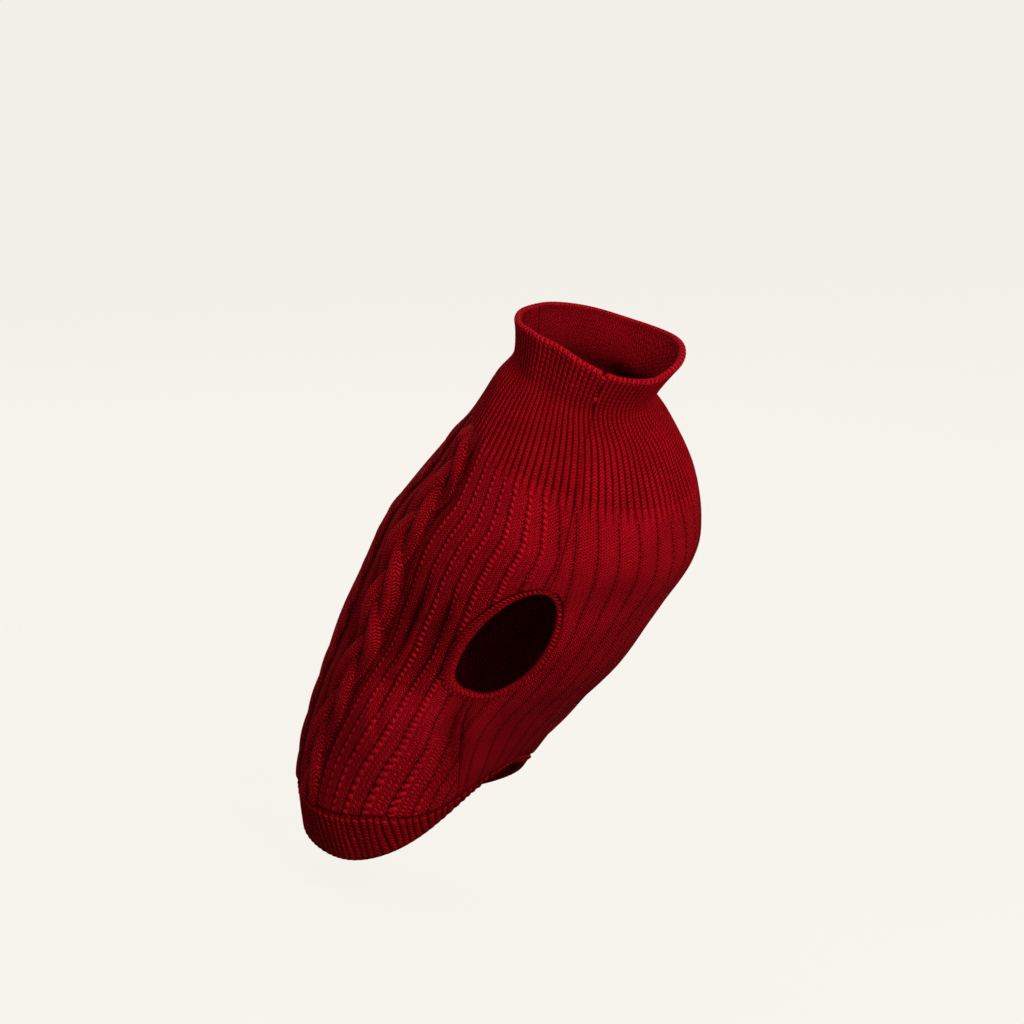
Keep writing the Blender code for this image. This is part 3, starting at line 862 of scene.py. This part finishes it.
CUTS = {  # node, slot, and the width, length and true area of the flat cut
    "collar": ("collar", "collar_rib", 0.76, 0.150, 0.090),
    "back_right": ("back_panel", "back_cable", 0.330, 0.480, 0.138),
    "back_left": ("back_panel", "back_cable", 0.330, 0.480, 0.138),
    "chest": ("chest_panel", "chest_rib", 0.230, 0.400, 0.070),
    "hem": ("hem_band", "hem_rib", 0.82, 0.047, 0.033),
    "band_right": ("armhole_band_right", "band_rib", 0.41, 0.014, 0.0042),
    "band_left": ("armhole_band_left", "band_rib", 0.41, 0.014, 0.0042),
}


def build_sweater():
    red = wool_material("red_wool", DARK_WOOL, MID_WOOL, LIGHT_WOOL)
    wool = {
        "collar": build_collar(),
        "back_right": build_back(1),
        "back_left": build_back(-1),
        "chest": build_chest(),
        "hem": build_hem(),
        "band_right": build_band("band_wool_right", 1),
        "band_left": build_band("band_wool_left", -1),
    }
    for key, piece in wool.items():
        node, slot, width, length, area = CUTS[key]
        piece.data.materials.append(red)
        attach(piece, "root")
        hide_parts(node)


# ---------------------------------------------------------------- studio
AIM = Vector((-0.0748, 0.0348, -0.1401))
TO_CAMERA = Vector((-0.7433, -0.6237, 0.2419))
CAMERA_RIGHT = Vector((0.6428, -0.7660, 0.0))
CAMERA_AWAY = 4.30
FLOOR = -0.600
PALE = (0.913, 0.888, 0.831)
PAPER_GLOW, ROOM_LIGHT = 0.965, 0.19
PAPER_SHADE = 0.08  # the paper answers the lights only a little, so shadows on it stay faint
UP = Vector((0, 0, 1))
CENTRE = Vector((0.0, 0.1, -0.25))  # what the lights face
LENS, SENSOR = 149.7, 36.0
LIGHTS = {  # towards the camera, to its right, up, size, power, colour
    "key": (2.2, 1.1, 1.15, 1.1, 57, (1.0, 0.97, 0.94)),
    "fill": (1.6, -2.2, 0.7, 2.4, 9, (0.94, 0.97, 1.0)),
    "back": (-1.9, -0.6, 1.5, 1.8, 20, (1.0, 0.98, 0.96)),
    "top": (0.0, 0.0, 2.4, 1.6, 5, (1.0, 1.0, 1.0)),
}
PAPER_NEAR, PAPER_FAR, PAPER_SIDE = -6.0, 9.0, 9.0
PAPER_BEND, PAPER_RISE = 2.4, 7.0


def build_camera():
    camera = bpy.data.cameras.new("camera")
    camera.lens = LENS
    camera.sensor_width = SENSOR
    camera.clip_start = 0.1
    camera.clip_end = 60.0
    holder = bpy.data.objects.new("camera", camera)
    bpy.context.scene.collection.objects.link(holder)
    holder.location = AIM + TO_CAMERA.normalized() * CAMERA_AWAY
    holder.rotation_mode = "QUATERNION"
    holder.rotation_quaternion = (-TO_CAMERA).to_track_quat("-Z", "Y")
    bpy.context.scene.camera = holder


def area_light(name, place, target, size, power, colour):
    light = bpy.data.lights.new(name, "AREA")
    light.shape = "SQUARE"
    light.size = size
    light.energy = power
    light.color = colour
    holder = bpy.data.objects.new(name, light)
    bpy.context.scene.collection.objects.link(holder)
    holder.location = place
    holder.rotation_mode = "QUATERNION"
    holder.rotation_quaternion = (Vector(place) - Vector(target)).to_track_quat("Z", "Y")


def build_lights(flat):
    for name, (toward, right, high, size, power, colour) in LIGHTS.items():
        place = CENTRE + flat * toward + CAMERA_RIGHT * right + UP * high
        area_light(name, place, CENTRE, size, power, colour)


def build_world():
    world = bpy.data.worlds.new("studio")
    world.use_nodes = True
    nodes, links = world.node_tree.nodes, world.node_tree.links
    sky = nodes["Background"]
    sky.inputs["Color"].default_value = (*PALE, 1)
    # Seen past the paper's edge the room is as pale as the paper, though it lights the wool only a little.
    ray = nodes.new("ShaderNodeLightPath").outputs["Is Camera Ray"]
    strength = nodes.new("ShaderNodeMapRange")
    strength.inputs["To Min"].default_value = ROOM_LIGHT
    strength.inputs["To Max"].default_value = PAPER_GLOW
    links.new(ray, strength.inputs["Value"])
    links.new(strength.outputs["Result"], sky.inputs["Strength"])
    bpy.context.scene.world = world


def build_backdrop(flat):
    """One pale sheet: a floor that curves up behind."""
    floor_end = PAPER_FAR - PAPER_BEND
    profile = [(PAPER_NEAR, 0.0), (floor_end, 0.0)]
    for a in np.linspace(0.1, math.pi / 2, 14):
        profile.append((floor_end + PAPER_BEND * math.sin(a), PAPER_BEND - PAPER_BEND * math.cos(a)))
    profile.append((PAPER_FAR, PAPER_RISE))
    points, faces = [], []
    for along, high in profile:
        for side in (-PAPER_SIDE, PAPER_SIDE):
            place = CENTRE - flat * along + CAMERA_RIGHT * side + UP * (FLOOR + high - CENTRE.z)
            points.append(tuple(place))
    for i in range(len(profile) - 1):
        faces.append((2 * i, 2 * i + 1, 2 * i + 3, 2 * i + 2))
    mesh = bpy.data.meshes.new("backdrop")
    mesh.from_pydata(points, [], faces)
    mesh.shade_smooth()
    backdrop = bpy.data.objects.new("backdrop", mesh)
    bpy.context.scene.collection.objects.link(backdrop)
    material = bpy.data.materials.new("pale_paper")
    material.use_nodes = True
    surface = material.node_tree.nodes["Principled BSDF"]
    surface.inputs["Base Color"].default_value = (*(PAPER_SHADE * c for c in PALE), 1)
    surface.inputs["Roughness"].default_value = 0.9
    surface.inputs["Specular IOR Level"].default_value = 0.0
    surface.inputs["Emission Color"].default_value = (*PALE, 1)
    surface.inputs["Emission Strength"].default_value = PAPER_GLOW
    mesh.materials.append(material)
    # The paper gives no light of its own to the wool.
    backdrop.visible_diffuse = False
    backdrop.visible_glossy = False


def build_studio():
    flat = TO_CAMERA.copy()
    flat.z = 0
    flat.normalize()
    build_lights(flat)
    build_world()
    build_backdrop(flat)
    bpy.context.scene.view_settings.view_transform = "Standard"
    bpy.context.scene.view_settings.look = "None"


build_sweater()
build_studio()
build_camera()
